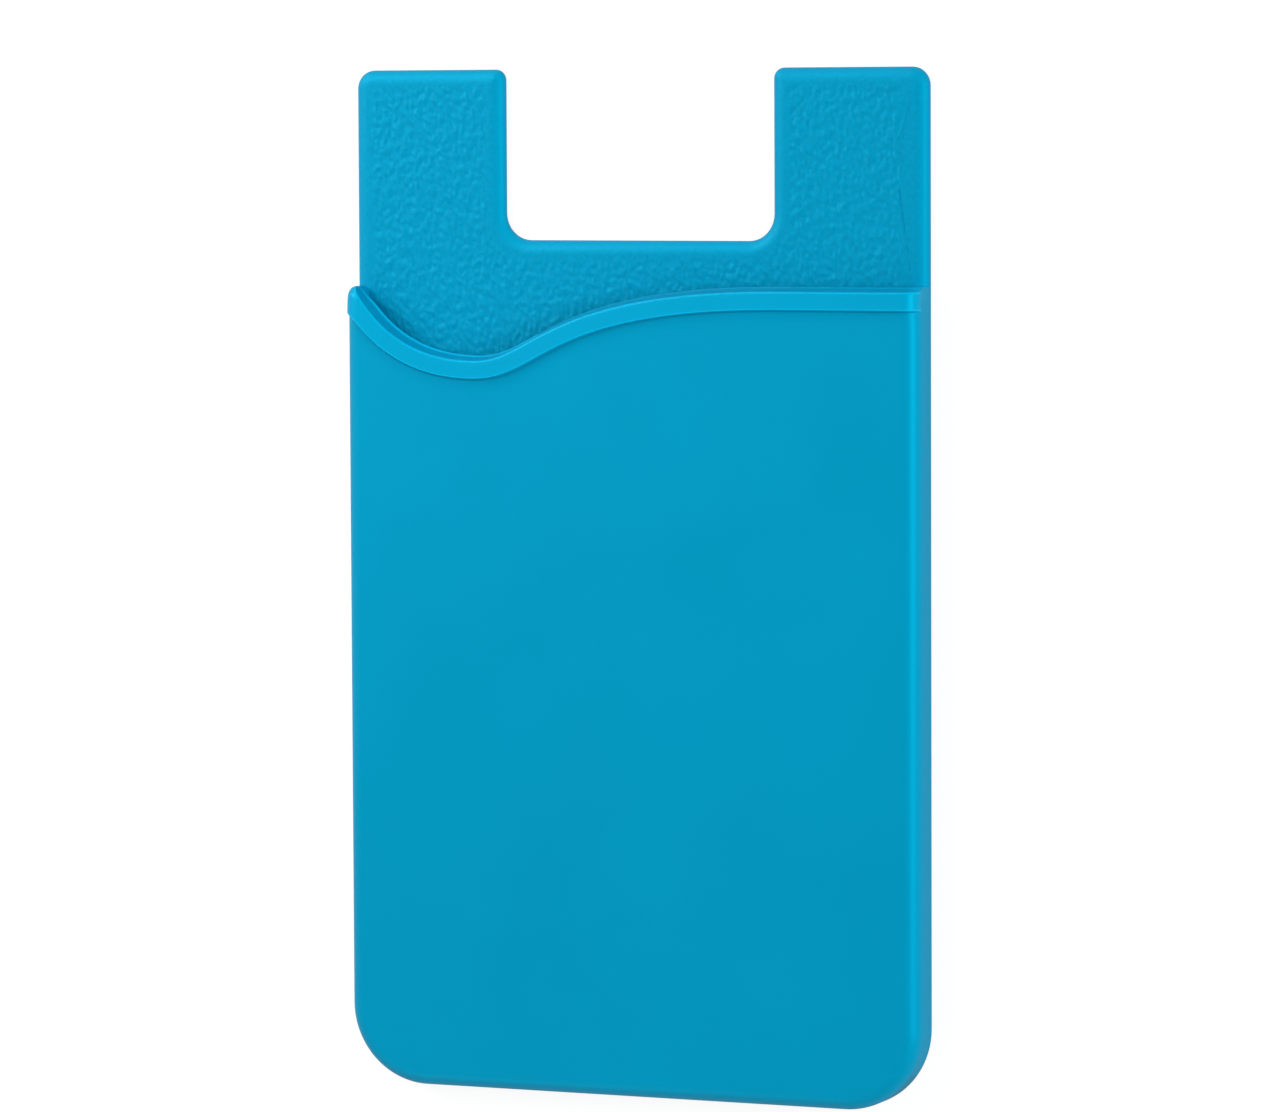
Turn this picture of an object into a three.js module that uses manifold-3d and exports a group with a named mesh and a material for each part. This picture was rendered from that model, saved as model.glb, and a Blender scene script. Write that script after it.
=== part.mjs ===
// A stick-on card holder for the back of a phone: one moulded silicone sleeve and the adhesive pad
// under it. It lies on its back, with the ears towards +Y and the pocket's front facing +Z.
import * as THREE from 'three';
import { mergeVertices } from 'three/addons/utils/BufferGeometryUtils.js';
import Module from 'manifold-3d';

const wasm = await Module();
wasm.setup();

// All sizes are in millimetres.

// The bank card that the pocket is made for, and its room in the pocket
const cardWidth = 54;
const cardThickness = 0.76;
const cardSideClearance = 0.15;
const cardFaceClearance = 0.54;

// Walls of the sleeve
const sideWall = 1.35;
const bottomWall = 1.35;
const backThickness = 1.1;
const frontThickness = 1.4;

// Outline of the back plate, with two ears and a wide notch between them
const sleeveHeight = 95;
const bottomCornerRadius = 7.5;
const notchWidth = 26.8;
const notchDepth = 15.8;
const notchCornerRadius = 2.5;
const earOuterRadius = 1.7;
const earInnerRadius = 1;

// Rounded front edges
const backEdgeRadius = 0.85;
const pocketEdgeRadius = 1.45;

// Lip of the pocket: level on the right, with a finger dip on the left that ends in a short tip
const pocketHeight = 74.7;
const dipDepth = 6.6;
const dipFromSide = 13.3;
const dipLeftHandle = 8.5;
const riseLength = 30.3;
const riseLowHandle = 6;
const riseHighHandle = 23.3;
const tipFromSide = 0.8;
const tipRise = 0.1;
const tipShoulder = 1.3;
const tipHandle = new THREE.Vector2(1.3, -1.45);
const lipDraft = 0.3;

// Flat bead along the lip
const beadWidth = 1.6;
const beadHeight = 0.45;
const beadWrapRise = 0.2;
const beadWrapShare = 0.3;

// Adhesive pad on the back
const padThickness = 0.25;
const padMargin = 3.5;
const padCornerRadius = 5;

// Facets of the round stretches
const bottomCornerSteps = 14;
const smallCornerSteps = 6;
const edgeSteps = 6;
const curveSteps = 28;
const sharpestRadius = 0.05;
const cutterOverrun = 1;

// Sizes that follow from the ones above
const slotGap = cardThickness + cardFaceClearance;
const slotWidth = cardWidth + 2 * cardSideClearance;
const sleeveWidth = slotWidth + 2 * sideWall;
const halfWidth = sleeveWidth / 2;
const slotFloor = backThickness;
const slotCeiling = slotFloor + slotGap;
const pocketFront = slotCeiling + frontThickness;
const beadFront = pocketFront + beadHeight;
const dipX = dipFromSide - halfWidth;
const dipY = pocketHeight - dipDepth;
const tipX = tipFromSide - halfWidth;
const tipY = pocketHeight + tipRise;
const blankTop = tipY + cutterOverrun;

// Points of one rounded corner, from the start angle to the end angle in degrees
function corner(centreX, centreY, radius, startDegrees, endDegrees, steps) {
  const points = [];
  for (let i = 0; i <= steps; i++) {
    const angle = THREE.MathUtils.degToRad(THREE.MathUtils.lerp(startDegrees, endDegrees, i / steps));
    points.push(new THREE.Vector2(centreX + radius * Math.cos(angle), centreY + radius * Math.sin(angle)));
  }
  return points;
}

// The two bottom corners that the plate, the pocket and the slot share, drawn inward by an inset
function bottomCorners(side, bottom, radius) {
  const centreX = side - radius;
  const centreY = bottom + radius;
  return [
    ...corner(-centreX, centreY, radius, 180, 270, bottomCornerSteps),
    ...corner(centreX, centreY, radius, 270, 360, bottomCornerSteps),
  ];
}

// Back plate: counterclockwise from the lower left corner, drawn inward by an inset
function plateOutline(inset) {
  const side = halfWidth - inset;
  const top = sleeveHeight - inset;
  const outer = Math.max(earOuterRadius - inset, sharpestRadius);
  const inner = Math.max(earInnerRadius - inset, sharpestRadius);
  const hollow = notchCornerRadius + inset;
  const earSide = notchWidth / 2 + inset;
  const notchFloor = sleeveHeight - notchDepth - inset;
  return [
    ...bottomCorners(side, inset, Math.max(bottomCornerRadius - inset, sharpestRadius)),
    ...corner(side - outer, top - outer, outer, 0, 90, smallCornerSteps),
    ...corner(earSide + inner, top - inner, inner, 90, 180, smallCornerSteps),
    ...corner(earSide - hollow, notchFloor + hollow, hollow, 360, 270, smallCornerSteps),
    ...corner(hollow - earSide, notchFloor + hollow, hollow, 270, 180, smallCornerSteps),
    ...corner(-earSide - inner, top - inner, inner, 0, 90, smallCornerSteps),
    ...corner(outer - side, top - outer, outer, 90, 180, smallCornerSteps),
  ];
}

// Pocket blank: the same sides and bottom as the plate, open above the lip
function blankOutline(inset) {
  const side = halfWidth - inset;
  return [
    ...bottomCorners(side, inset, Math.max(bottomCornerRadius - inset, sharpestRadius)),
    new THREE.Vector2(side, blankTop),
    new THREE.Vector2(-side, blankTop),
  ];
}

// Card slot, whose corners run concentric with the outer ones
function slotOutline() {
  const side = slotWidth / 2;
  const radius = Math.max(bottomCornerRadius - Math.max(sideWall, bottomWall), sharpestRadius);
  return [
    ...bottomCorners(side, bottomWall, radius),
    new THREE.Vector2(side, blankTop + cutterOverrun),
    new THREE.Vector2(-side, blankTop + cutterOverrun),
  ];
}

// A curve's points, moved downward square to the curve
function offsetPoints(curve, offset) {
  return curve.getPoints(curveSteps).map((point, i) => {
    const along = curve.getTangent(i / curveSteps);
    return new THREE.Vector2(point.x + offset * along.y, point.y - offset * along.x);
  });
}

// The left half of the dip, from the tip down to the bottom of the dip
function descent(offset) {
  const curve = new THREE.CubicBezierCurve(
    new THREE.Vector2(tipX, tipY),
    new THREE.Vector2(tipX + tipHandle.x, tipY + tipHandle.y),
    new THREE.Vector2(dipX - dipLeftHandle, dipY),
    new THREE.Vector2(dipX, dipY),
  );
  return offsetPoints(curve, offset);
}

// The S-shaped rise from the bottom of the dip to the level part
function rise(offset) {
  const curve = new THREE.CubicBezierCurve(
    new THREE.Vector2(dipX, dipY),
    new THREE.Vector2(dipX + riseLowHandle, dipY),
    new THREE.Vector2(dipX + riseLength - riseHighHandle, pocketHeight),
    new THREE.Vector2(dipX + riseLength, pocketHeight),
  );
  return offsetPoints(curve, offset);
}

// Everything above the lip, with the small round shoulder at its left end
function aboveLipOutline(lift) {
  const shoulder = new THREE.QuadraticBezierCurve(
    new THREE.Vector2(-halfWidth, tipY - tipShoulder),
    new THREE.Vector2(-halfWidth, tipY),
    new THREE.Vector2(tipX, tipY),
  );
  const outside = halfWidth + cutterOverrun;
  const outline = [
    new THREE.Vector2(-outside, tipY - tipShoulder),
    ...shoulder.getPoints(smallCornerSteps),
    ...descent(0).slice(1),
    ...rise(0).slice(1),
    new THREE.Vector2(outside, pocketHeight),
    new THREE.Vector2(outside, blankTop + cutterOverrun),
    new THREE.Vector2(-outside, blankTop + cutterOverrun),
  ];
  return outline.map((point) => new THREE.Vector2(point.x, point.y + lift));
}

// Everything below the bead, whose lower edge turns level where it wraps round the left side
function belowBeadOutline() {
  const outside = halfWidth + cutterOverrun;
  const lower = [
    ...descent(beadWidth).slice(Math.round(beadWrapShare * curveSteps)),
    ...rise(beadWidth).slice(1),
  ];
  const wrapY = lower[0].y + beadWrapRise;
  return [
    new THREE.Vector2(-outside, -cutterOverrun),
    new THREE.Vector2(outside, -cutterOverrun),
    new THREE.Vector2(outside, pocketHeight - beadWidth),
    ...lower.reverse(),
    new THREE.Vector2(-halfWidth, wrapY),
    new THREE.Vector2(-outside, wrapY),
  ];
}

function padOutline() {
  const side = halfWidth - padMargin;
  const top = sleeveHeight - notchDepth - padMargin;
  const radius = padCornerRadius;
  return [
    ...bottomCorners(side, padMargin, radius),
    ...corner(side - radius, top - radius, radius, 0, 90, bottomCornerSteps),
    ...corner(radius - side, top - radius, radius, 90, 180, bottomCornerSteps),
  ];
}

// A closed solid through outlines of equal length, each at its height, from the lowest up
function stack(layers) {
  const count = layers[0].outline.length;
  const positions = layers.flatMap(({ outline, z }) => outline.flatMap((point) => [point.x, point.y, z]));
  const lastLayer = (layers.length - 1) * count;
  const index = [];
  for (const [a, b, c] of THREE.ShapeUtils.triangulateShape(layers[0].outline, [])) {
    index.push(c, b, a);
  }
  for (const [a, b, c] of THREE.ShapeUtils.triangulateShape(layers.at(-1).outline, [])) {
    index.push(a + lastLayer, b + lastLayer, c + lastLayer);
  }
  for (let start = 0; start < lastLayer; start += count) {
    for (let i = 0; i < count; i++) {
      const next = (i + 1) % count;
      index.push(start + i, start + next, start + next + count);
      index.push(start + i, start + next + count, start + i + count);
    }
  }
  const geometry = new THREE.BufferGeometry();
  geometry.setAttribute('position', new THREE.Float32BufferAttribute(positions, 3));
  geometry.setIndex(index);
  return geometry;
}

// Straight walls from the bottom to the top
function prism(outline, bottom, top) {
  return stack([{ outline, z: bottom }, { outline, z: top }]);
}

// A slab with its front edge rounded all the way round
function roundedSlab(outlineAt, front, edgeRadius) {
  const radius = Math.min(edgeRadius, front);
  const layers = [];
  if (radius < front) {
    layers.push({ outline: outlineAt(0), z: 0 });
  }
  for (let i = 0; i <= edgeSteps; i++) {
    const angle = (i / edgeSteps) * (Math.PI / 2);
    const inset = radius * (1 - Math.cos(angle));
    layers.push({ outline: outlineAt(inset), z: front - radius + radius * Math.sin(angle) });
  }
  return stack(layers);
}

function toSolid(geometry) {
  const welded = mergeVertices(geometry);
  return new wasm.Manifold(new wasm.Mesh({
    numProp: 3,
    vertProperties: welded.attributes.position.array,
    triVerts: Uint32Array.from(welded.index.array),
  }));
}

function toGeometry(solid) {
  const mesh = solid.getMesh();
  const geometry = new THREE.BufferGeometry();
  geometry.setAttribute('position', new THREE.BufferAttribute(mesh.vertProperties, 3));
  geometry.setIndex(new THREE.BufferAttribute(mesh.triVerts, 1));
  geometry.computeVertexNormals();
  return geometry;
}

// The lip leans back: its wall is highest at the slot and falls by the draft at the front of the bead
function aboveLip() {
  return toSolid(stack([
    { outline: aboveLipOutline(lipDraft), z: -cutterOverrun },
    { outline: aboveLipOutline(lipDraft), z: slotCeiling },
    { outline: aboveLipOutline(0), z: beadFront },
    { outline: aboveLipOutline(0), z: beadFront + cutterOverrun },
  ]));
}

function sleeveGeometry() {
  const plate = toSolid(roundedSlab(plateOutline, backThickness, backEdgeRadius));
  const blank = toSolid(roundedSlab(blankOutline, pocketFront, pocketEdgeRadius));
  const belowBead = toSolid(prism(belowBeadOutline(), -cutterOverrun, beadFront + cutterOverrun));
  const bead = toSolid(roundedSlab(blankOutline, beadFront, pocketEdgeRadius)).subtract(belowBead);
  const slot = toSolid(prism(slotOutline(), slotFloor, slotCeiling));
  const pocket = blank.add(bead).subtract(aboveLip()).subtract(slot);
  return toGeometry(plate.add(pocket));
}

const silicone = new THREE.MeshStandardMaterial({ color: 0x059dc8, roughness: 0.55, metalness: 0 });
const adhesive = new THREE.MeshStandardMaterial({ color: 0xe9e9e4, roughness: 0.4, metalness: 0 });

function siliconeSleeve() {
  const mesh = new THREE.Mesh(sleeveGeometry(), silicone);
  mesh.name = 'silicone_sleeve';
  mesh.position.set(0, -sleeveHeight / 2, padThickness);
  return mesh;
}

function adhesivePad() {
  const mesh = new THREE.Mesh(prism(padOutline(), 0, padThickness), adhesive);
  mesh.name = 'adhesive_pad';
  mesh.position.set(0, -sleeveHeight / 2, 0);
  return mesh;
}

const cardHolder = new THREE.Group();
cardHolder.add(siliconeSleeve());
cardHolder.add(adhesivePad());

export default cardHolder;
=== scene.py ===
"""Looks of the stick-on card holder: a fine silicone sleeve, its adhesive pad, a floor, soft light and the camera."""
import math

import bpy
import numpy as np
from mathutils import Matrix, Vector, noise
from mathutils.geometry import delaunay_2d_cdt


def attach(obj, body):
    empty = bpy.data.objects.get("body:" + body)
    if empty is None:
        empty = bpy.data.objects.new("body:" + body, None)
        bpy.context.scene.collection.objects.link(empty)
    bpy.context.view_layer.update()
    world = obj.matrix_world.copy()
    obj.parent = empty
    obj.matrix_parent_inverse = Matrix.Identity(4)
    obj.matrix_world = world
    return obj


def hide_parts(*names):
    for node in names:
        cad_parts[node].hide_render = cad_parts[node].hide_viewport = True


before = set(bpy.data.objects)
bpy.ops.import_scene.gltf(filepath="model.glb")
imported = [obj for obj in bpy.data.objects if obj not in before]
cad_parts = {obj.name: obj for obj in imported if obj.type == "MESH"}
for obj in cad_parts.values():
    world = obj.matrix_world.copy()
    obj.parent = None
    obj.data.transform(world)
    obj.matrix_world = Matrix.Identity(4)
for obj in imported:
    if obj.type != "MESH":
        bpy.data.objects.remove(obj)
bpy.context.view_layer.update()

# Sizes in millimetres, measured from the sleeve's bottom edge and back face, as in the part's source
HALF_WIDTH = 28.5
SLEEVE_HEIGHT = 95.0
BOTTOM_CORNER_RADIUS = 7.5
NOTCH_WIDTH = 26.8
NOTCH_DEPTH = 15.8
NOTCH_CORNER_RADIUS = 2.5
EAR_OUTER_RADIUS = 1.7
EAR_INNER_RADIUS = 1.0
BACK_THICKNESS = 1.1
BACK_EDGE_RADIUS = 0.85
SLOT_CEILING = 2.4
SLOT_HALF_WIDTH = 27.15
SLOT_BOTTOM = 1.35
POCKET_FRONT = 3.8
POCKET_EDGE_RADIUS = 1.45
POCKET_HEIGHT = 74.7
DIP = (-15.2, 68.1)
DIP_LEFT_HANDLE = 8.5
RISE_LENGTH = 30.3
RISE_LOW_HANDLE = 6.0
RISE_HIGH_HANDLE = 23.3
TIP = (-27.6, 74.93)
TIP_SHOULDER = 1.5
TIP_HANDLE = (1.25, -1.55)
LIP_DRAFT = 0.34
BEAD_WIDTH = 1.74
BEAD_HEIGHT = 0.45
BEAD_WRAP_RISE = 0.6
BEAD_WRAP_SHARE = 0.28
PAD_THICKNESS = 0.25

# Small roundings, steps and relief that only the looks carry
LIP_ROUND = 0.22
LIP_BACK_ROUND = 0.12
LIP_RIDGE = 0.09
PLATE_EDGE_WIDTH = 1.25
BEAD_STEP_RUN = 0.2
BEAD_COVE = 0.08
BEAD_COVE_RUN = 1.1
BEAD_TILT = 0.08
BACK_ROUND = 0.15
TIP_ROUND = 0.25
BEAD_WRAP_ROUND = 0.5
GRAIN_MARGIN = 0.15
GRAIN_SPACING = 0.132
GRAIN_RELIEF = 0.065

# Steps down the lip's wall, each a share of its height and a share of the fine ridge at its foot
LIP_WALL = ((0, 0), (0.33, 0), (0.66, 0), (0.84, 0), (0.88, 0.5), (0.92, 0.9), (0.96, 1), (1, 1))
# From this step of the wall down, and along the lip to this far past the dip, the fine ridge gets a painted highlight
# colour
RIDGE_HIGHLIGHT_FIRST_STEP = 3
RIDGE_HIGHLIGHT_PAST_DIP = 6

# Colours of the silicone on the pocket, the bead, the fine edges and the grained plate, as linear values; the bead's
# lighter tone is painted light on its face, the fine edges' colour a painted highlight, and the rim gain a painted
# highlight on the rounded outer edges
SILICONE = (0.0004, 0.310, 0.533)
# Lighter than the pocket: painted light on the bead's face
BEAD_PAINTED_LIGHT_COLOUR = (0.0004, 0.352, 0.604)
# Painted highlight on the fine edges of the bead, the lip's ridge and the rounding over the slot
EDGE_PAINTED_HIGHLIGHT_COLOUR = (0.0006, 0.455, 0.775)
GRAINED_COLOUR = (0.0004, 0.288, 0.502)
# How much the painted highlight on the rounded outer edges lightens the colour
RIM_HIGHLIGHT_GAIN = 1.2

# Places of the materials on the sleeve
PANEL_SLOT, BEAD_PAINTED_LIGHT_SLOT, GRAINED_SLOT, EDGE_PAINTED_HIGHLIGHT_SLOT = range(4)

# Facets of the round stretches
EAR_STEPS = 10
CORNER_STEPS = 36
SHOULDER_STEPS = 24
FALL_STEPS = 60
CLIMB_STEPS = 110
LEVEL_POINTS = 34

# Smallest difference that counts as a distance
TOUCH = 1e-3


def arc(cx, cy, r, start, end, steps):
    a = np.radians(np.linspace(start, end, steps + 1))
    return np.stack([cx + r * np.cos(a), cy + r * np.sin(a)], 1)


def bottom_corners(side, bottom, radius):
    cx, cy = side - radius, bottom + radius
    left = arc(-cx, cy, radius, 180, 270, CORNER_STEPS)
    right = arc(cx, cy, radius, 270, 360, CORNER_STEPS)
    return np.concatenate([left, right])


def plate_outline(inset):
    """Back plate, counterclockwise from the lower left corner, drawn inward by an inset."""
    side, top = HALF_WIDTH - inset, SLEEVE_HEIGHT - inset
    outer, inner = EAR_OUTER_RADIUS - inset, max(EAR_INNER_RADIUS - inset, 0.02)
    hollow, ear = NOTCH_CORNER_RADIUS + inset, NOTCH_WIDTH / 2 + inset
    floor = SLEEVE_HEIGHT - NOTCH_DEPTH - inset
    return np.round(np.concatenate([
        bottom_corners(side, inset, BOTTOM_CORNER_RADIUS - inset),
        arc(side - outer, top - outer, outer, 0, 90, EAR_STEPS),
        arc(ear + inner, top - inner, inner, 90, 180, EAR_STEPS),
        arc(ear - hollow, floor + hollow, hollow, 360, 270, EAR_STEPS),
        arc(hollow - ear, floor + hollow, hollow, 270, 180, EAR_STEPS),
        arc(-ear - inner, top - inner, inner, 0, 90, EAR_STEPS),
        arc(outer - side, top - outer, outer, 90, 180, EAR_STEPS),
    ]), 4)


def bezier(p0, p1, p2, p3, steps):
    t = np.linspace(0, 1, steps + 1)[:, None]
    p0, p1, p2, p3 = (np.array(p, float) for p in (p0, p1, p2, p3))
    return (1 - t) ** 3 * p0 + 3 * (1 - t) ** 2 * t * p1 + 3 * (1 - t) * t * t * p2 + t ** 3 * p3


def quadratic(p0, p1, p2, steps):
    t = np.linspace(0, 1, steps + 1)[:, None]
    p0, p1, p2 = (np.array(p, float) for p in (p0, p1, p2))
    return (1 - t) ** 2 * p0 + 2 * (1 - t) * t * p1 + t * t * p2


def descent():
    """The left half of the dip, from the tip down."""
    handle = (TIP[0] + TIP_HANDLE[0], TIP[1] + TIP_HANDLE[1])
    return bezier(TIP, handle, (DIP[0] - DIP_LEFT_HANDLE, DIP[1]), DIP, FALL_STEPS)


def rise():
    """The S-shaped rise from the dip to the level part."""
    end = DIP[0] + RISE_LENGTH
    low_handle, high_handle = (DIP[0] + RISE_LOW_HANDLE, DIP[1]), (end - RISE_HIGH_HANDLE, POCKET_HEIGHT)
    return bezier(DIP, low_handle, high_handle, (end, POCKET_HEIGHT), CLIMB_STEPS)


def lengths(line):
    """Length along a line up to each of its points."""
    return np.concatenate([[0], np.cumsum(np.hypot(*np.diff(line, axis=0).T))])


def at_length(line, s):
    total = lengths(line)
    return np.stack([np.interp(s, total, line[:, 0]), np.interp(s, total, line[:, 1])], -1)


def soften(line, where, leg):
    """Rounds the corner of a line nearest to a point, over a leg on either side."""
    total = lengths(line)
    mid = total[np.argmin(np.hypot(*(line - where).T))]
    a, b, c = (at_length(line, mid + d) for d in (-leg, 0, leg))
    return np.concatenate([line[total < mid - leg], quadratic(a, b, c, 10), line[total > mid + leg]])


def with_x(line, xs):
    """The line with a point added at each x."""
    for x in xs:
        if np.abs(line[:, 0] - x).min() < 1e-9:
            continue
        k = int(np.searchsorted(line[:, 0], x))
        a, b = line[k - 1], line[k]
        line = np.insert(line, k, [x, a[1] + (b[1] - a[1]) * (x - a[0]) / (b[0] - a[0])], axis=0)
    return line


def inward(line):
    """Unit normals to the right of a line that runs towards +X, so they point down into the pocket's panel."""
    t = np.gradient(line, axis=0)
    t /= np.hypot(*t.T)[:, None]
    return np.stack([t[:, 1], -t[:, 0]], 1)


def distance(points, line, closed=False):
    """Distance of each point to a line of straight stretches."""
    ends = np.roll(line, -1, axis=0) if closed else line[1:]
    starts = line if closed else line[:-1]
    best = np.full(len(points), 1e9)
    for a, b in zip(starts, ends):
        d = b - a
        t = np.clip(((points - a) @ d) / max(d @ d, 1e-18), 0, 1)
        best = np.minimum(best, np.hypot(points[:, 0] - a[0] - t * d[0], points[:, 1] - a[1] - t * d[1]))
    return best


def smoothstep(x):
    x = np.clip(x, 0, 1)
    return x * x * (3 - 2 * x)


def quarter(radius, steps):
    """Insets at which a quarter round of that radius has even steps of slope."""
    return radius * (1 - np.cos(np.linspace(0, math.pi / 2, steps + 1)))


POCKET_RINGS = quarter(POCKET_EDGE_RADIUS, 12)
PLATE_RINGS = quarter(PLATE_EDGE_WIDTH, 8)

# The lip, from the left side over the tip and through the dip to the right side
fall, climb = descent(), rise()
level_x = np.linspace(DIP[0] + RISE_LENGTH, HALF_WIDTH, LEVEL_POINTS)
level = np.stack([level_x, np.full(LEVEL_POINTS, POCKET_HEIGHT)], 1)
shoulder = quadratic((-HALF_WIDTH, TIP[1] - TIP_SHOULDER), (-HALF_WIDTH, TIP[1]), TIP, SHOULDER_STEPS)
lip = np.concatenate([shoulder, fall[1:], climb[1:], level[1:]])
lip = soften(lip, np.array(TIP), TIP_ROUND)
ring_x = [HALF_WIDTH - r for r in [*POCKET_RINGS[1:], *PLATE_RINGS[1:]]] + [SLOT_HALF_WIDTH]
lip = np.round(with_x(lip, sorted([-x for x in ring_x] + ring_x)), 4)
crest = lip[lip[:, 0] > TIP[0] - TOUCH]

# The bead's lower edge, which turns level where it wraps round the left side
low_fall = (fall + BEAD_WIDTH * inward(fall))[round(BEAD_WRAP_SHARE * FALL_STEPS):]
low_climb = (climb + BEAD_WIDTH * inward(climb))[1:]
wrap = [[-HALF_WIDTH, low_fall[0, 1] + BEAD_WRAP_RISE]]
low = np.concatenate([wrap, low_fall, low_climb, [[HALF_WIDTH, POCKET_HEIGHT - BEAD_WIDTH]]])
low = soften(low, low[1], BEAD_WRAP_ROUND)


def side_distance(p):
    """Distance inward from the pocket's sides and bottom."""
    x, y, r = np.abs(p[:, 0]), p[:, 1], BOTTOM_CORNER_RADIUS
    corner = (x > HALF_WIDTH - r) & (y < r)
    return np.where(corner, r - np.hypot(x - HALF_WIDTH + r, r - y), np.minimum(HALF_WIDTH - x, y))


def rounded(d, radius):
    """How far a quarter round lies under the flat face at a distance from the edge."""
    d = np.clip(np.where(d < TOUCH, 0, d), 0, radius)
    return radius - np.sqrt(np.maximum(radius ** 2 - (radius - d) ** 2, 0))


def under(p, line):
    """How far each point lies straight below a line."""
    return np.interp(p[:, 0], line[:, 0], line[:, 1]) - p[:, 1]


def pocket_height(p):
    """Height of the pocket's front, with its rounded rim, the bead and the cove under it."""
    side, edge = np.minimum(side_distance(p), distance(p, shoulder)), distance(p, crest)
    above = np.where(under(p, low) < 0, 1, -1) * distance(p, low)
    step = smoothstep(above / BEAD_STEP_RUN + 0.5)
    bead = (BEAD_HEIGHT - BEAD_TILT * smoothstep(above / BEAD_WIDTH)) * step
    cove = BEAD_COVE * (1 - smoothstep(-above / BEAD_COVE_RUN)) * (above < 0) * smoothstep(side / 2)
    near = 0.3 + 0.7 * smoothstep(side / POCKET_EDGE_RADIUS)
    face = POCKET_FRONT - rounded(side, POCKET_EDGE_RADIUS)
    return face + bead + cove * (1 - step) - near * rounded(edge, LIP_ROUND)


def inside(points, polygon):
    """Which points lie inside a polygon."""
    x, y = points[:, 0], points[:, 1]
    result = np.zeros(len(points), bool)
    for a, b in zip(polygon, np.roll(polygon, -1, axis=0)):
        crosses = (a[1] > y) != (b[1] > y)
        if crosses.any():
            result ^= crosses & (x < a[0] + (b[0] - a[0]) * (y - a[1]) / (b[1] - a[1] + 1e-300))
    return result


class Mesh:
    """Triangles in millimetres, welded by place."""

    def __init__(self):
        self.verts, self.faces, self.slots, self.found, self.slot = [], [], [], {}, 0

    def vert(self, p):
        key = tuple(round(float(c) * 1e4) for c in p)
        if key not in self.found:
            self.found[key] = len(self.verts)
            self.verts.append(tuple(float(c) for c in p))
        return self.found[key]

    def face(self, points):
        ids = [self.vert(p) for p in points]
        ids = [v for k, v in enumerate(ids) if v != ids[k - 1]]
        if len(set(ids)) >= 3:
            self.faces.append(ids)
            self.slots.append(self.slot)

    def fill(self, points, triangles, flip=False):
        for t in triangles:
            self.face([points[i] for i in (reversed(t) if flip else t)])

    def strip(self, a, b):
        """Quads between two open lines of equal length."""
        for i in range(len(a) - 1):
            self.face([a[i], a[i + 1], b[i + 1], b[i]])


def line_edges(start, count, closed=False):
    return [(start + i, start + (i + 1) % count) for i in range(count if closed else count - 1)]


class Region:
    """A flat region to be meshed: a boundary, lines inside it, and loose points."""

    def __init__(self, boundary):
        self.boundary = np.round(boundary, 4)
        self.points = [tuple(p) for p in self.boundary]
        self.edges = line_edges(0, len(self.points), True)

    def line(self, line):
        start = len(self.points)
        self.points += [tuple(p) for p in line]
        self.edges += line_edges(start, len(line))

    def mesh(self):
        """Points and triangles within the boundary."""
        out = delaunay_2d_cdt([Vector(p) for p in self.points], self.edges, [], 0, 1e-5)
        points = np.round(np.array([v[:] for v in out[0]]), 4)
        triangles = np.array([tuple(f) for f in out[2]])
        middles = points[triangles].mean(1)
        return points, triangles[inside(middles, self.boundary)].tolist()


def boundary_loop(triangles):
    """Vertices round a meshed region, in order."""
    after = {}
    sides = {(t[k], t[(k + 1) % 3]) for t in triangles for k in range(3)}
    for a, b in sides:
        if (b, a) not in sides:
            after[a] = b
    start = next(iter(after))
    loop = [start]
    while after[loop[-1]] != start:
        loop.append(after[loop[-1]])
    return loop


def grain(p):
    """Relief of the grained front of the plate, from about -1 to 1."""
    values = []
    for x, y in p:
        u, v = 0.94 * x + 0.34 * y, -0.34 * x + 0.94 * y
        bend = Vector((u * 0.55, v * 0.4, 3.1))
        across, along = noise.noise(bend), noise.noise(bend + Vector((31.7, 12.9, 5.3)))
        q = Vector((u * 2.9 + 0.8 * across, v * 1.6 + 0.8 * along, 0.7))
        values.append(0.75 * noise.noise(q) * 1.6 + 0.45 * noise.noise(q * 2.3 + Vector((9, 4, 2))))
    return np.array(values)


def plate_height(p):
    """Height of the plate's front: a rounded rim, and grain that fades out before it and inside the slot."""
    depth = distance(p, plate, True)
    mask = smoothstep((depth - PLATE_EDGE_WIDTH - GRAIN_MARGIN) / 0.8)
    mask *= smoothstep((1.4 - under(p, lip)) / 0.5)
    relief = np.zeros(len(p))
    used = mask > 0
    relief[used] = grain(p[used]) * mask[used]
    drop = rounded(depth, PLATE_EDGE_WIDTH) * BACK_EDGE_RADIUS / PLATE_EDGE_WIDTH
    return BACK_THICKNESS - drop + GRAIN_RELIEF * relief


plate = plate_outline(0)
half = (CORNER_STEPS + 1) * 2
around, over_ears = plate[:half], plate[half:]
slot = np.round(bottom_corners(SLOT_HALF_WIDTH, SLOT_BOTTOM, BOTTOM_CORNER_RADIUS - SLOT_BOTTOM), 4)


def at(q, z):
    return q[0], q[1], z


def side_fade(p):
    """1 over the slot, falling to 0 at its sides."""
    return smoothstep((SLOT_HALF_WIDTH - np.abs(p[:, 0])) / 1.2)


def lattice(x0, x1, y0, y1, step):
    """Loose points on a square lattice."""
    return np.stack(np.meshgrid(np.arange(x0, x1, step), np.arange(y0, y1, step)), -1).reshape(-1, 2)


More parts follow.
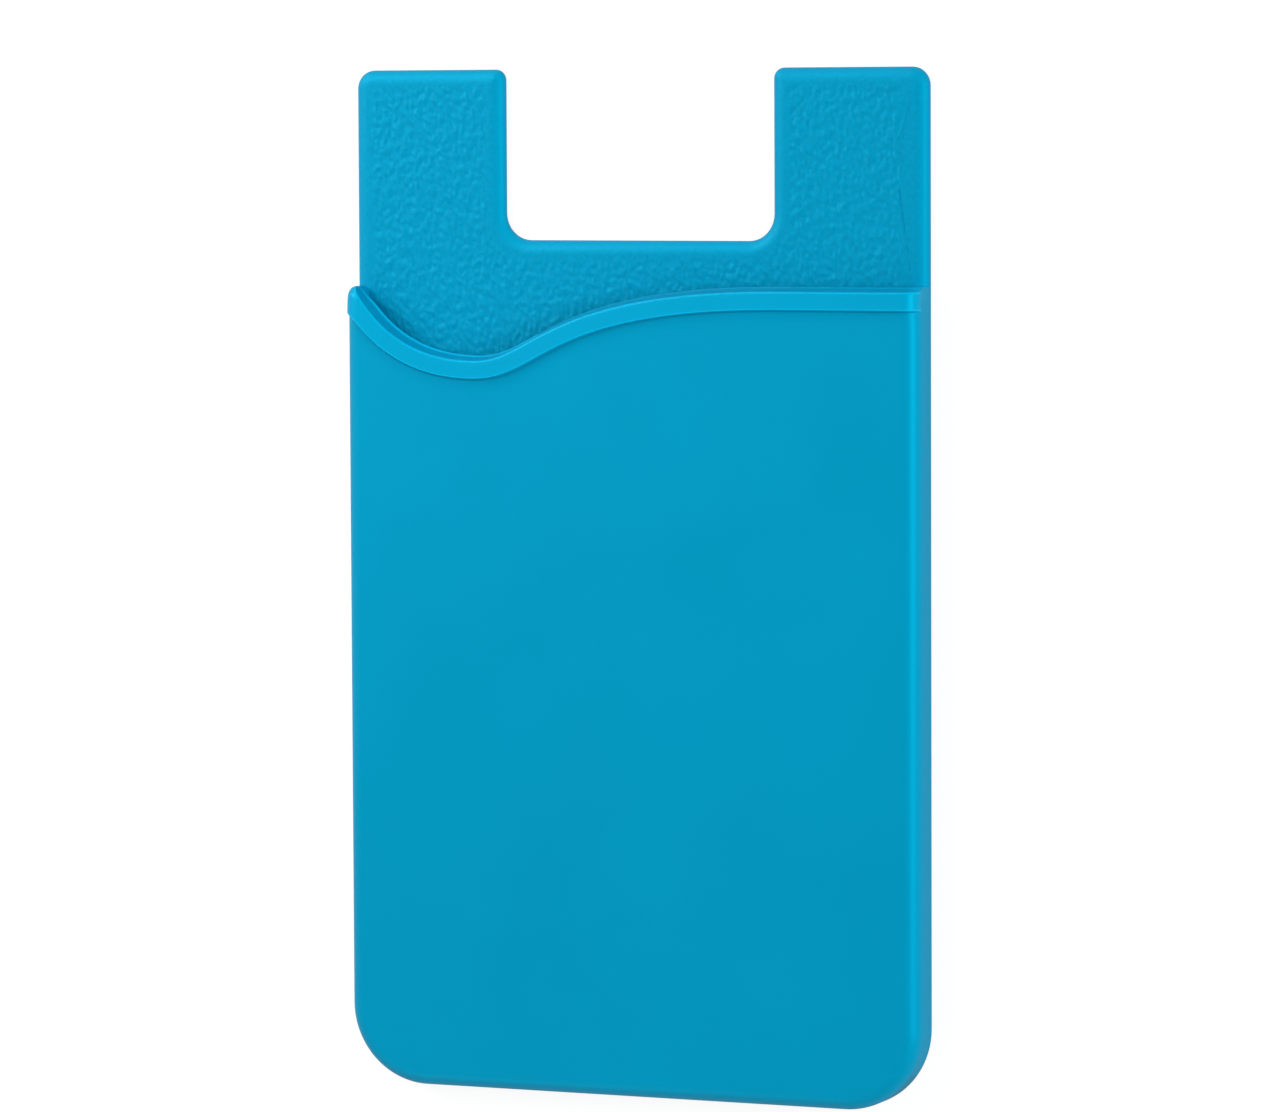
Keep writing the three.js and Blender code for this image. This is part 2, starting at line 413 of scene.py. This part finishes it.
def pocket_region():
    """Plan of the pocket's front, with lines where its height bends."""
    top = Region(np.concatenate([around, lip[::-1]]))
    for inset in [*POCKET_RINGS[1:], POCKET_EDGE_RADIUS + 0.25]:
        m = np.argmin(np.abs(lip[:, 0] - HALF_WIDTH + inset))
        ring = bottom_corners(HALF_WIDTH - inset, inset, BOTTOM_CORNER_RADIUS - inset)
        turn_in = shoulder + inward(shoulder) * inset
        turn_in = turn_in[(distance(turn_in, shoulder) > inset - TOUCH) & (under(turn_in, lip) > 0.02)]
        start = [[inset - HALF_WIDTH, shoulder[0, 1]]]
        if len(turn_in) > 1:
            start = turn_in[::-1]
        top.line(np.concatenate([start, ring, [lip[m]]]))
    normal = inward(crest)
    for inset in [*quarter(LIP_ROUND, 5)[1:], LIP_ROUND + 0.08]:
        line = crest + normal * inset
        free = (distance(line, lip) > inset - TOUCH) & (np.abs(line[:, 0]) < HALF_WIDTH - TOUCH)
        runs = np.split(np.arange(len(line)), np.flatnonzero(np.diff(free.astype(int))) + 1)
        for run in runs:
            if free[run[0]] and len(run) > 1:
                top.line(line[run])
    low_normal = inward(low)
    for share in (-5, -3.5, -2, -0.75, -0.5, -0.3, -0.15, 0, 0.15, 0.3, 0.5, 0.75, 1):
        line = low - low_normal * share * BEAD_STEP_RUN
        line[0, 0], line[-1, 0] = -HALF_WIDTH, HALF_WIDTH
        top.line(line)
    grid = lattice(-26, 26.1, 2, 74, 1.3)
    keep = (side_distance(grid) > 2.2) & (under(grid, low) > 0.6) & (distance(grid, low) > 0.6)
    top.points += [tuple(p) for p in grid[keep]]
    return top


def add_pocket_front(mesh):
    """Meshes the front of the pocket, and returns its boundary as the lip's edge and the rest."""
    p, tris = pocket_region().mesh()
    top3 = np.column_stack([p, pocket_height(p)])
    middles = p[np.array(tris)].mean(1)
    # Faces of the bead get its lighter colour, painted light on its face
    on_bead = under(middles, low) < 0
    # Faces along the bead's upper and lower edges get a painted highlight colour
    painted_highlight_edge = (distance(middles, lip) < 0.55 * LIP_ROUND) | (distance(middles, low) < BEAD_STEP_RUN)
    places = np.where(on_bead, np.where(painted_highlight_edge, EDGE_PAINTED_HIGHLIGHT_SLOT, BEAD_PAINTED_LIGHT_SLOT), PANEL_SLOT)
    for place in (PANEL_SLOT, BEAD_PAINTED_LIGHT_SLOT, EDGE_PAINTED_HIGHLIGHT_SLOT):
        mesh.slot = place
        mesh.fill(top3, [t for t, own in zip(tris, places) if own == place])
    mesh.slot = PANEL_SLOT

    # The lip's part of that boundary runs from the right side to the left
    loop = [top3[i] for i in boundary_loop(tris)]
    on_lip = set(np.flatnonzero(distance(np.array(loop)[:, :2], lip) < 3e-4).tolist())
    first = next(k for k in range(len(loop)) if k in on_lip and (k - 1) % len(loop) not in on_lip)
    loop = loop[first:] + loop[:first]
    count = len(on_lip)
    return np.array(loop[:count])[::-1], np.array(loop[count - 1:] + loop[:1])


def add_lip_wall(mesh, edge):
    """Leaning wall of the lip with the fine ridge at its foot, and the rounding over the slot."""
    along = lengths(edge[:, :2])
    lean = smoothstep(along - along[np.argmin(np.hypot(edge[:, 0] - TIP[0], edge[:, 1] - TIP[1]))])
    out = -inward(edge[:, :2])
    out[:, 0] *= side_fade(edge)
    foot_z = np.full(len(edge), SLOT_CEILING + LIP_BACK_ROUND)
    foot = np.column_stack([edge[:, :2] + out * (LIP_DRAFT * lean)[:, None], foot_z])
    ridge = np.column_stack([out * lean[:, None], np.zeros(len(edge))]) * LIP_RIDGE
    rows = [edge + (foot - edge) * t + ridge * r for t, r in LIP_WALL]
    # The ridge's steps, from the tip to a little past the dip, get a painted highlight colour
    highlight_end = int(np.searchsorted(edge[:, 0], DIP[0] + RIDGE_HIGHLIGHT_PAST_DIP))
    for k, (a, b) in enumerate(zip(rows, rows[1:])):
        mesh.slot = EDGE_PAINTED_HIGHLIGHT_SLOT if k >= RIDGE_HIGHLIGHT_FIRST_STEP else PANEL_SLOT
        mesh.strip(a[:highlight_end + 1], b[:highlight_end + 1])
        mesh.slot = PANEL_SLOT
        mesh.strip(a[highlight_end:], b[highlight_end:])
    foot = rows[-1]
    slot_foot = foot[np.abs(foot[:, 0]) < SLOT_HALF_WIDTH + 1e-6]
    down = inward(slot_foot[:, :2])
    down[:, 0] *= side_fade(slot_foot)
    down[-1] = down[0] = (0, -1)
    turn = [slot_foot]
    for angle in np.linspace(0, math.pi / 2, 5)[1:]:
        back = LIP_BACK_ROUND * (1 - math.cos(angle))
        drop = LIP_BACK_ROUND * math.sin(angle)
        turn.append(np.column_stack([slot_foot[:, :2] + down * back, slot_foot[:, 2] - drop]))
    # The rounding over the slot gets a painted highlight colour
    mesh.slot = EDGE_PAINTED_HIGHLIGHT_SLOT
    for a, b in zip(turn, turn[1:]):
        mesh.strip(a, b)
    mesh.slot = PANEL_SLOT
    return rows, turn


def add_plate_front(mesh, ends):
    """Front of the plate, over the ears and down into the slot."""
    floor = Region(np.concatenate([over_ears, ends[0][:, :2], slot, ends[1][:, :2]]))
    for inset in [*PLATE_RINGS[1:], PLATE_EDGE_WIDTH + 0.12]:
        ring = plate_outline(inset)[half:]
        left = ends[0][np.argmin(np.abs(ends[0][:, 0] + HALF_WIDTH - inset))][:2]
        right = ends[1][np.argmin(np.abs(ends[1][:, 0] - HALF_WIDTH + inset))][:2]
        floor.line(np.concatenate([[right], ring, [left]]))
    nx, ny = int(52 / GRAIN_SPACING) + 10, int(30 / GRAIN_SPACING)
    grid = np.stack(np.meshgrid(np.arange(nx) * GRAIN_SPACING - 27.3, np.arange(ny) * GRAIN_SPACING + 64.5), -1)
    grid[1::2, :, 0] += GRAIN_SPACING / 2
    grid = grid.reshape(-1, 2)
    keep = inside(grid, plate) & (distance(grid, plate, True) > PLATE_EDGE_WIDTH + 0.24)
    keep &= (under(grid, lip) < 1.3) & (np.abs(grid[:, 0]) < SLOT_HALF_WIDTH - 0.1)
    floor.points += [tuple(q) for q in grid[keep]]
    floor.points += [tuple(q) for q in lattice(-24, 25, 6, 60, 4.0)]
    p, tris = floor.mesh()
    mesh.slot = GRAINED_SLOT
    mesh.fill(np.column_stack([p, plate_height(p)]), tris)
    mesh.slot = PANEL_SLOT


def add_slot_sides(mesh, ends, turn):
    """Ceiling and sides of the slot, and the ends of the side walls beside it."""
    p, tris = Region(np.concatenate([slot, turn[-1][::-1, :2]])).mesh()
    mesh.fill(np.column_stack([p, np.full(len(p), SLOT_CEILING)]), tris, flip=True)
    for end in ends:
        mesh.strip(end, np.column_stack([end[:, :2], plate_height(end[:, :2])]))
    left, right = ends[0][-1], ends[1][0]
    left_z, right_z = plate_height(np.array([left[:2], right[:2]]))
    ceiling, ground = [at(q, SLOT_CEILING) for q in slot], [at(q, BACK_THICKNESS) for q in slot]
    mesh.strip(ceiling, ground)
    mesh.face([at(left, left_z), *[t[0] for t in turn], ceiling[0], ground[0]])
    mesh.face([ground[-1], ceiling[-1], *[t[-1] for t in reversed(turn)], at(right, right_z)])


def add_outside(mesh, outside, rows, ends):
    """Outer walls, and the back face with its small rounding."""
    nearest = lambda q: int(np.argmin(np.hypot(outside[:, 0] - q[0], outside[:, 1] - q[1])))
    k, m = nearest(around[0]), nearest(around[-1])
    crown_z = BACK_THICKNESS - BACK_EDGE_RADIUS
    base, crown = [at(q, BACK_ROUND) for q in plate], [at(q, crown_z) for q in plate]
    mesh.strip(base[:half], outside[k:m + 1])
    mesh.strip(base[half:], crown[half:])
    left_end, right_end = at(ends[0][0], crown_z), at(ends[1][-1], crown_z)
    left_rows, right_rows = [r[0] for r in rows[1:]], [r[-1] for r in reversed(rows[1:])]
    mesh.face([base[-1], base[0], *outside[:k + 1][::-1], *left_rows, left_end, crown[-1]])
    mesh.face([base[half - 1], base[half], crown[half], right_end, *right_rows, *outside[m:][::-1]])
    below = base
    for angle in np.linspace(0, math.pi / 2, 4)[1:]:
        ring = plate_outline(BACK_ROUND * (1 - math.cos(angle)))
        ring = [at(q, BACK_ROUND * (1 - math.sin(angle))) for q in ring]
        mesh.strip([*ring, ring[0]], [*below, below[0]])
        below = ring
    mesh.face(list(reversed(below)))


def assemble():
    """The whole closed sleeve."""
    mesh = Mesh()
    edge, outside = add_pocket_front(mesh)
    rows, turn = add_lip_wall(mesh, edge)
    foot = rows[-1]
    ends = [foot[foot[:, 0] < -SLOT_HALF_WIDTH + 1e-6], foot[foot[:, 0] > SLOT_HALF_WIDTH - 1e-6]]
    add_plate_front(mesh, ends)
    add_slot_sides(mesh, ends, turn)
    add_outside(mesh, outside, rows, ends)
    return mesh


def rim_highlight_share(verts):
    """How close each point is to the rounded outer edge of its level, from 0 to 1, which sets the painted highlight
    there.
    """
    p = np.array(verts)
    of_plate = 1 - distance(p[:, :2], plate, True) / (1.1 * PLATE_EDGE_WIDTH)
    of_pocket = 1 - side_distance(p[:, :2]) / (1.1 * POCKET_EDGE_RADIUS)
    in_slot = (np.abs(p[:, 0]) < SLOT_HALF_WIDTH + 0.01) & (p[:, 2] < SLOT_CEILING + 0.01) & (under(p, lip) > -0.5)
    share = np.where(p[:, 2] > SLOT_CEILING + LIP_BACK_ROUND, of_pocket, of_plate)
    return np.where(in_slot, 0, smoothstep(share))


def sleeve_object():
    mesh = assemble()
    data = bpy.data.meshes.new("silicone_sleeve_fine")
    shift = np.array([0, -SLEEVE_HEIGHT / 2, PAD_THICKNESS])
    data.from_pydata([tuple((np.array(v) + shift) * 0.001) for v in mesh.verts], [], mesh.faces)
    data.polygons.foreach_set("material_index", mesh.slots)
    # Weight of the painted highlight on the rounded outer edges
    data.attributes.new("rim", "FLOAT", "POINT").data.foreach_set("value", rim_highlight_share(mesh.verts))
    data.shade_smooth()
    data.set_sharp_from_angle(angle=math.radians(38))
    sleeve = bpy.data.objects.new("silicone_sleeve_fine", data)
    bpy.context.scene.collection.objects.link(sleeve)
    weighted = sleeve.modifiers.new("weighted", "WEIGHTED_NORMAL")
    weighted.keep_sharp = True
    return sleeve


def material(name):
    made = bpy.data.materials.new(name)
    made.use_nodes = True
    nodes, links = made.node_tree.nodes, made.node_tree.links
    return made, nodes, links, nodes["Principled BSDF"]


def noise_node(nodes, scale, detail):
    made = nodes.new("ShaderNodeTexNoise")
    made.inputs["Scale"].default_value = scale
    made.inputs["Detail"].default_value = detail
    return made


def tone_node(nodes, dark, light):
    """A ramp from a darker to a lighter tone over the middle of a noise."""
    made = nodes.new("ShaderNodeValToRGB")
    for element, position, colour in zip(made.color_ramp.elements, (0.3, 0.7), (dark, light)):
        element.position = position
        element.color = (*colour, 1)
    return made


def bump_node(nodes, strength, distance_m):
    made = nodes.new("ShaderNodeBump")
    made.inputs["Strength"].default_value = strength
    made.inputs["Distance"].default_value = distance_m
    return made


def silicone_material(name, colour, roughness, cloud_scale=70, contrast=0.025):
    """Matte moulded silicone: a faint cloudiness in its colour, a painted highlight that lightens it towards the
    rounded outer edges, and a fine tooth in its gloss and surface.
    """
    made, nodes, links, shader = material(name)
    place = nodes.new("ShaderNodeTexCoord")
    fine, cloud = noise_node(nodes, 5200, 3), noise_node(nodes, cloud_scale, 3)
    tone = tone_node(nodes, [c * (1 - contrast) for c in colour], [c * (1 + contrast) for c in colour])
    # Painted highlight: the colour is lightened by the rim gain towards the rounded outer edges
    rim = nodes.new("ShaderNodeAttribute")
    rim.attribute_name = "rim"
    lighter = nodes.new("ShaderNodeMix")
    lighter.data_type = "RGBA"
    lighter.inputs["B"].default_value = (*[c * RIM_HIGHLIGHT_GAIN for c in colour], 1)
    links.new(rim.outputs["Fac"], lighter.inputs["Factor"])
    links.new(tone.outputs["Color"], lighter.inputs["A"])
    rough = nodes.new("ShaderNodeMapRange")
    rough.inputs["To Min"].default_value = roughness - 0.05
    rough.inputs["To Max"].default_value = roughness + 0.05
    bump = bump_node(nodes, 0.12, 0.00002)
    links.new(place.outputs["Object"], fine.inputs["Vector"])
    links.new(place.outputs["Object"], cloud.inputs["Vector"])
    links.new(cloud.outputs["Fac"], tone.inputs["Fac"])
    links.new(lighter.outputs["Result"], shader.inputs["Base Color"])
    links.new(fine.outputs["Fac"], rough.inputs["Value"])
    links.new(rough.outputs["Result"], shader.inputs["Roughness"])
    links.new(fine.outputs["Fac"], bump.inputs["Height"])
    links.new(bump.outputs["Normal"], shader.inputs["Normal"])
    shader.inputs["Specular IOR Level"].default_value = 1.0
    shader.inputs["Specular Tint"].default_value = (0.0, 0.7, 1.0, 1)
    return made


def adhesive_material():
    """Pale double-sided adhesive with a drawn-out fibre."""
    made, nodes, links, shader = material("adhesive")
    place = nodes.new("ShaderNodeTexCoord")
    fibre = noise_node(nodes, 900, 6)
    stretch = nodes.new("ShaderNodeMapping")
    stretch.inputs["Scale"].default_value = (1, 0.2, 1)
    tone = tone_node(nodes, (0.76, 0.76, 0.73), (0.84, 0.84, 0.81))
    bump = bump_node(nodes, 0.2, 0.00003)
    links.new(place.outputs["Object"], stretch.inputs["Vector"])
    links.new(stretch.outputs["Vector"], fibre.inputs["Vector"])
    links.new(fibre.outputs["Fac"], tone.inputs["Fac"])
    links.new(tone.outputs["Color"], shader.inputs["Base Color"])
    links.new(fibre.outputs["Fac"], bump.inputs["Height"])
    links.new(bump.outputs["Normal"], shader.inputs["Normal"])
    shader.inputs["Roughness"].default_value = 0.42
    return made


def floor_object():
    """A plain floor just under the pad, white to the camera, that keeps the shadow."""
    data = bpy.data.meshes.new("floor")
    s, z = 1.5, -0.0001
    data.from_pydata([(-s, -s, z), (s, -s, z), (s, s, z), (-s, s, z)], [], [(0, 1, 2, 3)])
    floor = bpy.data.objects.new("floor", data)
    bpy.context.scene.collection.objects.link(floor)
    made, nodes, links, shader = material("floor")
    shader.inputs["Roughness"].default_value = 0.9
    shader.inputs["Specular IOR Level"].default_value = 0
    white = nodes.new("ShaderNodeEmission")
    white.inputs["Strength"].default_value = 1.1
    rays = nodes.new("ShaderNodeLightPath")
    share = nodes.new("ShaderNodeMath")
    share.operation = "MULTIPLY"
    share.inputs[1].default_value = 0.78
    paint = nodes.new("ShaderNodeMix")
    paint.data_type = "RGBA"
    paint.inputs["A"].default_value = (0.5, 0.5, 0.5, 1)
    paint.inputs["B"].default_value = (1, 1, 1, 1)
    mix = nodes.new("ShaderNodeMixShader")
    links.new(rays.outputs["Is Camera Ray"], paint.inputs["Factor"])
    links.new(paint.outputs["Result"], shader.inputs["Base Color"])
    links.new(rays.outputs["Is Camera Ray"], share.inputs[0])
    links.new(share.outputs["Value"], mix.inputs["Fac"])
    links.new(shader.outputs["BSDF"], mix.inputs[1])
    links.new(white.outputs["Emission"], mix.inputs[2])
    links.new(mix.outputs["Shader"], nodes["Material Output"].inputs["Surface"])
    data.materials.append(made)


def camera_object():
    """The camera of the photograph, solved from the sleeve's outline."""
    turn, tilt, roll = 0.3981174, 0.0696380, 0.0043739
    offset = Vector((0.476314, -0.047134, -583.31715))
    focal = 6306.482
    ry = Matrix(((math.cos(turn), 0, -math.sin(turn)), (0, 1, 0), (math.sin(turn), 0, math.cos(turn))))
    rx = Matrix(((1, 0, 0), (0, math.cos(tilt), -math.sin(tilt)), (0, math.sin(tilt), math.cos(tilt))))
    rz = Matrix(((math.cos(roll), -math.sin(roll), 0), (math.sin(roll), math.cos(roll), 0), (0, 0, 1)))
    back = (rz @ rx @ ry).transposed()
    centre = Vector((0, 50 - SLEEVE_HEIGHT / 2, PAD_THICKNESS))
    place = (centre - back @ offset) * 0.001
    data = bpy.data.cameras.new("camera")
    data.sensor_fit = "HORIZONTAL"
    data.sensor_width = 36
    data.lens = focal / 1274 * 36
    data.clip_start, data.clip_end = 0.01, 10
    camera = bpy.data.objects.new("camera", data)
    camera.matrix_world = Matrix.Translation(place) @ back.to_4x4()
    bpy.context.scene.collection.objects.link(camera)
    bpy.context.scene.camera = camera


def area_light(name, direction, distance_m, size, power):
    """A square soft light in a direction from the object, facing it."""
    data = bpy.data.lights.new(name, "AREA")
    data.energy = power
    data.shape = "SQUARE"
    data.size = size
    light = bpy.data.objects.new(name, data)
    towards = Vector(direction).normalized()
    light.location = towards * distance_m
    light.rotation_mode = "QUATERNION"
    light.rotation_quaternion = towards.to_track_quat("Z", "Y")
    bpy.context.scene.collection.objects.link(light)


camera_object()
floor_object()
sleeve = sleeve_object()
sleeve.data.materials.append(silicone_material("silicone", SILICONE, 0.42))
# The bead's material carries a lighter tone, painted light on its face
sleeve.data.materials.append(silicone_material("silicone_bead_painted_light", BEAD_PAINTED_LIGHT_COLOUR, 0.42))
sleeve.data.materials.append(silicone_material("silicone_grained", GRAINED_COLOUR, 0.5, 2300, 0.08))
# The edge material is a painted highlight colour
sleeve.data.materials.append(silicone_material("silicone_edge_painted_highlight", EDGE_PAINTED_HIGHLIGHT_COLOUR, 0.45))
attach(sleeve, "root")
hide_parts("silicone_sleeve")
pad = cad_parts["adhesive_pad"]
pad.data.materials.clear()
pad.data.materials.append(adhesive_material())

world = bpy.data.worlds.new("world")
bpy.context.scene.world = world
world.use_nodes = True
world.node_tree.nodes["Background"].inputs["Color"].default_value = (1, 1, 1, 1)
world.node_tree.nodes["Background"].inputs["Strength"].default_value = 0.31
area_light("key", (0.84, 0.1, 0.54), 0.8, 0.42, 3.7)
area_light("top", (-0.62, 0.52, 0.58), 0.32, 0.2, 0.68)
area_light("low", (-0.4, -0.7, 0.6), 0.6, 0.3, 0.3)

scene = bpy.context.scene
scene.view_settings.view_transform = "Standard"
